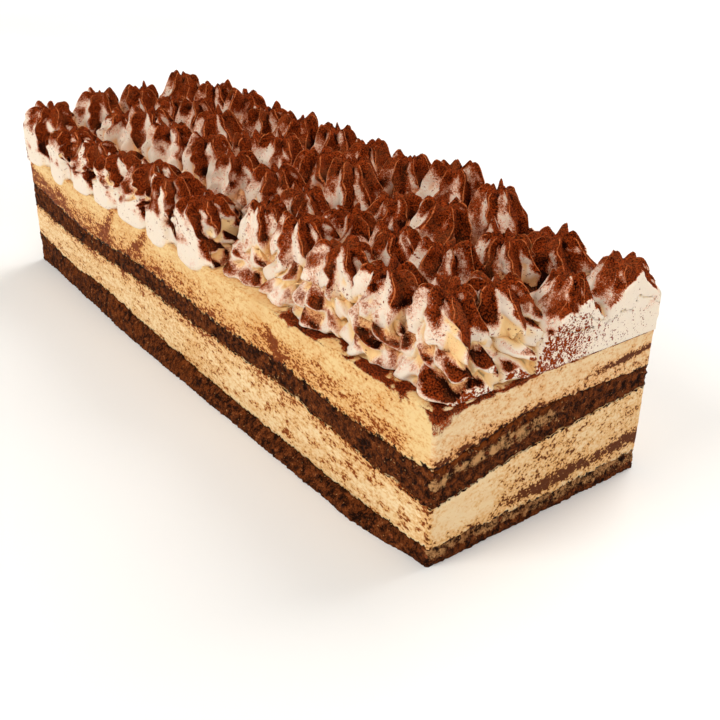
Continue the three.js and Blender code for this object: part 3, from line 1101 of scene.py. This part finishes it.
class RosettePlan:
    """One rosette's place and sizes, from its solid in the frame and seeded draws."""

    NUMBERS = ("height", "turn", "twist", "fold", "drop", "tongue", "tongue_width", "shoulder")
    VECTORS = ("home", "lean", "low", "high", "draw", "soft", "cut", "free")

    def __init__(self, row, column, settings, draws):
        node = f"rosette_{row}_{column}"
        low, high = self.low, self.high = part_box(node)
        slab_low, slab_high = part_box("upper_cream")
        front, back_row, near, far = row == 1, row == ROWS, column == 1, column == COLUMNS
        trimmed = front and low.y < slab_low.y - TONGUE_SHOWS
        free_end = near and high.x < slab_high.x - END_GAP
        at_cut_end = near and not free_end
        crown = crown_middle(node, high.z)
        self.home = Vector((crown.x, crown.y, slab_high.z))
        self.height = high.z - slab_high.z
        self.turn = draws.uniform(0, math.tau)
        self.twist = draws.choice([-1, 1]) * draws.uniform(0.45, 0.9)
        self.fold = draws.choice([-1, 1]) * draws.uniform(0.08, 0.2)
        self.tongue = draws.uniform(-4, 4) * MM
        self.tongue_width = draws.uniform(8, 12) * MM
        self.lean = Vector((draws.uniform(-1, 1), draws.uniform(-1, 1), 0)) * settings.lean
        self.home -= 0.6 * self.lean
        self.drop = settings.drop * draws.uniform(0.3, 1.0) if trimmed else 0.0
        self.draw = Vector(draws.uniform(0, 40, 3))
        self.shoulder = draws.uniform(-0.1, 0.7) - 0.8 * (near and row > ROWS // 2)
        self.free = Vector((free_end, front and not trimmed, 0))
        self.cut = Vector((at_cut_end - far, back_row, 0))
        beside_whole = near and row == ROWS // 2 + 1
        self.soft = Vector((
            CUT_EDGE if at_cut_end else PRESSED_EDGE, SLOPED_EDGE if beside_whole else PRESSED_EDGE,
            CUT_EDGE if back_row else PRESSED_EDGE))
        merge_x = MERGED_AT_WALL if back_row else MERGED
        merge_y = MERGED_AT_WALL if at_cut_end or far else MERGED
        low.x += APART * (row % 2) if far else -merge_x
        high.x += 0.0 if near else merge_x
        low.y -= 0.0 if front else merge_y
        high.y += -APART * (column % 2) if back_row else merge_y
        if front:
            low.y = slab_low.y - (TONGUE_PROUD - APART * (column % 2) if trimmed else -WHOLE_INSET)
        if near:
            high.x = slab_high.x - (WHOLE_INSET if free_end else APART * (row % 2))


def rosette_row(row, settings):
    """A mesh with one point for each rosette of a row, carrying its sizes."""
    draws = np.random.default_rng(settings.seed + row)
    plans = [RosettePlan(row, column, settings, draws) for column in range(1, COLUMNS + 1)]
    mesh = bpy.data.meshes.new(f"rosette_row_{row}_plan")
    mesh.from_pydata([tuple(plan.home) for plan in plans], [], [])
    for name in RosettePlan.NUMBERS:
        set_mask(mesh, name, [getattr(plan, name) for plan in plans])
    for name in RosettePlan.VECTORS:
        layer = mesh.attributes.new(name, "FLOAT_VECTOR", "POINT")
        values = np.array([getattr(plan, name) for plan in plans], np.float32)
        layer.data.foreach_set("vector", values.ravel())
    return mesh


DUST_FROM = Vector((0.42, 0.34, 1.0))
DUST_SPREAD = 0.45
DUST_WAYS = 8
SOFTEN_ROUNDS = 4
SKY_SPREAD = 1.2
SKY_CELL = 0.6 * MM
SKY_STEPS = 18
SKY_STEP = 1.3 * MM
CLEAR_OF_SKIN = 1.0 * MM


class HeightMap:
    """The highest cream above each small square of the slab, to tell what the sky reaches."""

    def __init__(self, points):
        self.low = points.min(0)[:2] - SKY_CELL
        size = np.ceil((points.max(0)[:2] - self.low) / SKY_CELL).astype(int) + 2
        self.top = np.zeros(size)
        np.maximum.at(self.top, self.squares(points), points[:, 2])

    def squares(self, points):
        at = ((points[:, :2] - self.low) / SKY_CELL).astype(int)
        return tuple(np.clip(at[:, axis], 0, self.top.shape[axis] - 1) for axis in (0, 1))

    def above(self, points):
        return self.top[self.squares(points)]

    def open_towards(self, points, way):
        """1 where nothing stands in the way, else 0."""
        clear = np.ones(len(points))
        for index in range(SKY_STEPS):
            reached = points + np.array(way) * (SKY_STEP * index)
            clear[self.above(reached) > reached[:, 2] + SKY_CELL] = 0.0
        return clear


def ways_round(middle, spread):
    """Directions set evenly round a middle one."""
    turns = [math.tau * index / DUST_WAYS for index in range(DUST_WAYS)]
    sides = [Vector((math.cos(turn), math.sin(turn), 0)) for turn in turns]
    return [(middle + spread * side).normalized() for side in sides]


def caught(points, normals, sky, ways):
    """What each point catches of what comes along the ways, and the most that it could."""
    total, most = np.zeros(len(points)), np.full(len(points), 1e-6)
    for way in ways:
        share = np.maximum(normals @ np.array(way), 0.0)
        total += share * sky.open_towards(points + CLEAR_OF_SKIN * normals, way)
        most += share
    return total, most


def dust_and_sky(points, normals, sky):
    """How much falling cocoa each point catches, and how open it lies to the sky."""
    ways = [DUST_FROM.normalized()] + ways_round(DUST_FROM.normalized(), DUST_SPREAD)
    dust, _ = caught(points, normals, sky, ways)
    seen, most = caught(points, normals, sky, ways_round(Vector((0, 0, 1)), SKY_SPREAD))
    return dust / len(ways), seen / most


WALL_SKIN = 1.1 * MM
INTO_WALL = 2.0 * MM
ALONG_WALL = (-2.5, -1.2, 0, 1.2, 2.5)


def wall_and_depth(points, sky):
    """How much of each point is on a cut wall, and its millimetres below the cream's top there."""
    end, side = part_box("upper_cream")[1][:2]
    past = np.stack([np.abs(points[:, 0]) - (end - WALL_SKIN), points[:, 1] - (side - WALL_SKIN)], 1) / MM
    touch = past > -0.9
    inward = np.zeros_like(points)
    inward[:, :2] = -INTO_WALL * np.column_stack([np.sign(points[:, 0]) * touch[:, 0], touch[:, 1]])
    sideways = inward[:, [1, 0, 2]] / 2
    tops = [sky.above(points + inward + shift * sideways) for shift in ALONG_WALL]
    below = (np.max(tops, 0) - points[:, 2]) / MM + 3.0 * wavy(points, 6 * MM)
    return smooth(past.max(1), 0.0, 0.5), below


def rosette_masks(mesh, sky):
    """Where cocoa, specks and shade lie on a row of rosettes."""
    points, normals = points_of(mesh), normals_of(mesh)
    along, across, height = (points / MM).T
    up, ridge, gap = (mask_of(mesh, name) for name in ("up", "ridge", "gap"))
    dust, clear = (soften(mesh, values, SOFTEN_ROUNDS) for values in dust_and_sky(points, normals, sky))
    wall, below = wall_and_depth(points, sky)
    back = smooth(across, -30, 20)
    trimmed = fade(across, -44, -40) * fade(along, 12, 18)
    patches = 0.5 + 0.9 * wavy(points, 9 * MM, 2)
    valley = smooth(across, -34, -28) * fade(along, 130, 136)
    lobe_patch = smooth(wavy(points + 0.5, 8 * MM, 2), 0.06, 0.22) * smooth(normals[:, 2], -0.1, 0.3)

    amount = 1.6 * dust - 0.15 + 0.12 * ridge + 0.2 * smooth(up, 0.7, 0.95) + 0.24 * back
    amount += 0.17 * (1 - back) * smooth(along, -60, 20)
    amount += trimmed * smooth(height, 55, 60) * (patches - 0.25)
    amount += gap * smooth(height, 52.5, 56) * patches
    amount += 0.1 * smooth(along, 105, 125) * fade(across, -22, -10)
    amount -= 0.12 * smooth(along, 118, 132) * smooth(across, -22, -10)
    amount -= 0.55 * smooth(along, 134, 140) * fade(height, 62, 70) * smooth(across, -32, -24)
    amount += 0.5 * valley * fade(up, 0.3, 0.55)
    amount += 0.24 * lobe_patch * (1 - valley) * fade(up, 0.45, 0.65) * smooth(along, 10, 20)
    wall_dust = np.clip(0.95 - below / 3.0, 0, 1) * smooth(height, 60, 66)
    grains = 0.24 + 0.2 * smooth(up, 0.35, 0.6) + 0.1 * trimmed
    wall_grains = 0.44 + 0.56 * fade(across, 0, 30) * fade(height, 58, 72)
    return {
        "dust": amount * (1 - wall) + wall_dust * wall,
        # Painted shade: how closed off from the sky each point is, which the cream's yellow tint and the
        # cocoa's darkening follow.
        "hollow": (1 - clear) * (1 - 0.7 * gap),
        "veil": 0.72 + 0.2 * back,
        "specks": grains * (1 - wall) + wall_grains * wall}


class TIRAMISU_OT_rosettes(bpy.types.Operator):
    """Pipes the four rows of rosettes and dusts them with cocoa"""

    bl_idname = "tiramisu.pipe_rosettes"
    bl_label = "Piped rosettes"

    def execute(self, context):
        settings = context.scene.tiramisu_rosettes
        values = {
            "Ribs": settings.ribs, "Steps per rib": settings.steps_per_rib,
            "Steps up": settings.steps_up, "Radius": settings.radius,
            "Free radius": settings.free_radius, "Front radius": settings.front_radius,
            "Tier": settings.tier, "Relief": settings.relief, "Material": piped_cream_material(settings)}
        tree = rosette_tree()
        rows = {row: grown(f"piped_row_{row}", rosette_row(row, settings), tree, values)
                for row in range(1, ROWS + 1)}
        sky = HeightMap(np.concatenate([points_of(mesh) for mesh in rows.values()]))
        for row, mesh in rows.items():
            for name, mask in rosette_masks(mesh, sky).items():
                set_mask(mesh, name, mask)
            nodes = [f"rosette_{row}_{column}" for column in range(1, COLUMNS + 1)]
            add_piece(f"piped_row_{row}", mesh, nodes)
        return {"FINISHED"}


# Loose lumps

LUMP_TREE = "Scattered lumps"


def lump_tree():
    """Small uneven lumps on a surface, as thick as its lumps mask says."""
    nodes, given = geometry_tree(LUMP_TREE, {
        "Density": "Float", "Size": "Float", "Seed": "Int", "Material": "Material"})
    points = nodes.get("GeometryNodeDistributePointsOnFaces", {
        "Mesh": given["Geometry"], "Density": given["Density"] * nodes.named("lumps"),
        "Seed": given["Seed"]}, "Points")
    ball = nodes.get("GeometryNodeMeshIcoSphere", {"Radius": 0.5, "Subdivisions": 1})
    turn = nodes.get("FunctionNodeRandomValue", {
        0: (0.0, 0.0, 0.0), 1: (math.tau, math.tau, math.tau)}, data_type="FLOAT_VECTOR")
    size = nodes.get("FunctionNodeRandomValue", {2: 0.45, 3: 1.25}, 1, data_type="FLOAT")
    placed = nodes.get("GeometryNodeInstanceOnPoints", {
        "Points": points, "Instance": ball, "Rotation": turn, "Scale": size * given["Size"]})
    real = nodes.get("GeometryNodeRealizeInstances", {"Geometry": placed})
    jolt = nodes.jolt(nodes.get("GeometryNodeInputPosition"), 1.3 / given["Size"], given["Size"])
    uneven = nodes.get("GeometryNodeSetPosition", {"Geometry": real, "Offset": jolt})
    return finish_tree(nodes, uneven, given["Material"])


def add_lumps(piece, name, values, mask):
    """Adds lumps strewn over a piece, as thick as the mask says for its mesh."""
    source = bpy.data.objects[name].data.copy()
    set_mask(source, "lumps", mask(source))
    tree = bpy.data.node_groups.get(LUMP_TREE) or lump_tree()
    add_piece(piece, grown(piece, source, tree, values))


class TIRAMISU_OT_cocoa(bpy.types.Operator):
    """Strews lumps of cocoa powder over the rosettes and the slab's top edge"""

    bl_idname = "tiramisu.strew_cocoa"
    bl_label = "Cocoa lumps"

    def execute(self, context):
        settings, sizes = context.scene.tiramisu_rosettes, context.scene.tiramisu_crumbs
        values = {
            "Density": sizes.grain_density, "Size": sizes.grain, "Material": cocoa_material(settings)}
        dusted = [f"piped_row_{row}" for row in range(1, ROWS + 1)] + ["upper_cream_cut"]
        for index, name in enumerate(dusted):
            add_lumps(
                f"cocoa_on_{name}", name, {**values, "Seed": settings.seed + index},
                lambda source: smooth(mask_of(source, "dust"), 0.35, 0.8))
        return {"FINISHED"}


class TIRAMISU_OT_crumbs(bpy.types.Operator):
    """Strews loose crumbs over the cut sides of the sponges"""

    bl_idname = "tiramisu.strew_crumbs"
    bl_label = "Loose crumbs"

    def execute(self, context):
        settings, sizes = context.scene.tiramisu_slab, context.scene.tiramisu_crumbs
        values = {
            "Density": sizes.crumb_density, "Size": sizes.crumb,
            "Material": loose_crumb_material(settings)}

        def crumbs(source):
            points = points_of(source)
            along, across, _ = (points / MM).T
            patchy = smooth(wavy(points, 14 * MM, 2), -0.1, 0.5)
            share = 0.12 + 0.25 * patchy + 0.6 * near_corner(along, across, NEAR_CORNER, 500)
            share = np.clip(share + near_corner(along, across, FAR_CORNER, 60), 0, 1)
            return mask_of(source, "side") * share * smooth(points[:, 2], 1.0 * MM, 2.0 * MM)

        for index, name in enumerate(("base_sponge", "middle_sponge")):
            add_lumps(
                f"crumbs_on_{name}", f"{name}_crumb", {**values, "Seed": index}, crumbs)
        return {"FINISHED"}


# Stage

# Broad studio lights, far away, so that the floor is lit evenly: place, strength, softness and tint
LIGHTS = {
    "key_light": ((-0.3, -1.1, 0.85), 1.5, 30, (1.0, 0.97, 0.92)),
    "end_light": ((1.25, -0.3, 0.8), 0.9, 40, (1.0, 0.98, 0.96)),
    "rim_light": ((-0.2, 1.0, 0.9), 1.8, 45, (1.0, 0.96, 0.92)),
    "top_light": ((0.2, 0.2, 1.6), 0.6, 60, (1.0, 1.0, 1.0)),
}
WORLD_STRENGTH = 0.24
SENSOR_WIDTH = 36.0
NEAR_CLIP = 0.01
PICTURE_SHIFT = (-0.0015, -0.0029)


def camera_matrix(settings):
    """The camera's turn and place."""
    azimuth, elevation = settings.azimuth, settings.elevation
    level = math.cos(elevation)
    back = Vector((math.sin(azimuth) * level, -math.cos(azimuth) * level, math.sin(elevation)))
    right = Vector((math.cos(azimuth), math.sin(azimuth), 0))
    up = back.cross(right)
    cosine, sine = math.cos(settings.roll), math.sin(settings.roll)
    right, up = cosine * right + sine * up, cosine * up - sine * right
    turn = Matrix((right, up, back)).transposed()
    return Matrix.Translation(settings.eye) @ turn.to_4x4()


class TIRAMISU_OT_stage(bpy.types.Operator):
    """Adds the floor, the soft studio light and the camera"""

    bl_idname = "tiramisu.set_stage"
    bl_label = "Stage"

    def execute(self, context):
        scene, settings = context.scene, context.scene.tiramisu_stage
        half = settings.floor_size / 2
        corners = np.array([[-half, -half, 0], [half, -half, 0], [half, half, 0], [-half, half, 0]])
        mesh = mesh_from("pale_floor", corners, np.array([[0, 1, 2, 3]]))
        made, nodes = new_material("pale_floor")
        cloud = nodes.noise(nodes.place(), 3.0).step(0.3, 0.7)
        mesh.materials.append(finish_material(made, nodes, {
            "Base Color": nodes.mix(cloud, settings.floor, settings.floor_light), "Roughness": 0.7}))
        floor = add_object("pale_floor", mesh)

        for name, (place, strength, softness, tint) in LIGHTS.items():
            data = bpy.data.lights.new(name, "SUN")
            data.energy, data.angle, data.color = strength, math.radians(softness), tint
            light = add_object(name, data)
            light.location = place
            light.rotation_euler = (-Vector(place)).to_track_quat("-Z", "Y").to_euler()
        world = bpy.data.worlds.new("studio")
        world.use_nodes = True
        background = world.node_tree.nodes["Background"].inputs
        background["Color"].default_value = (1.0, 1.0, 1.0, 1.0)
        background["Strength"].default_value = WORLD_STRENGTH
        scene.world = world
        scene.view_settings.view_transform = "Standard"

        data = bpy.data.cameras.new("photo_camera")
        data.lens, data.sensor_width, data.clip_start = settings.lens, SENSOR_WIDTH, NEAR_CLIP
        data.shift_x, data.shift_y = PICTURE_SHIFT
        scene.camera = add_object("photo_camera", data)
        scene.camera.matrix_world = camera_matrix(settings)
        return {"FINISHED"}


OPERATORS = (
    TIRAMISU_OT_sponges, TIRAMISU_OT_creams, TIRAMISU_OT_rosettes, TIRAMISU_OT_cocoa,
    TIRAMISU_OT_crumbs, TIRAMISU_OT_stage)
SETTINGS = {
    "tiramisu_slab": SlabSettings, "tiramisu_rosettes": RosetteSettings,
    "tiramisu_crumbs": CrumbSettings, "tiramisu_stage": StageSettings}


class TIRAMISU_PT_panel(bpy.types.Panel):
    """Lists the pieces of the tiramisu in the sidebar"""

    bl_idname = "TIRAMISU_PT_panel"
    bl_label = "Tiramisu"
    bl_space_type = "VIEW_3D"
    bl_region_type = "UI"
    bl_category = "Tiramisu"

    def draw(self, context):
        for operator in OPERATORS:
            self.layout.operator(operator.bl_idname)


CLASSES = (*SETTINGS.values(), *OPERATORS, TIRAMISU_PT_panel)


def register():
    for each in CLASSES:
        bpy.utils.register_class(each)
    for name, group in SETTINGS.items():
        setattr(bpy.types.Scene, name, bpy.props.PointerProperty(type=group))


def unregister():
    for name in SETTINGS:
        delattr(bpy.types.Scene, name)
    for each in reversed(CLASSES):
        bpy.utils.unregister_class(each)


def main():
    register()
    bpy.ops.tiramisu.add_sponges()
    bpy.ops.tiramisu.add_creams()
    bpy.ops.tiramisu.pipe_rosettes()
    bpy.ops.tiramisu.strew_cocoa()
    bpy.ops.tiramisu.strew_crumbs()
    bpy.ops.tiramisu.set_stage()


if __name__ == "__main__":
    main()
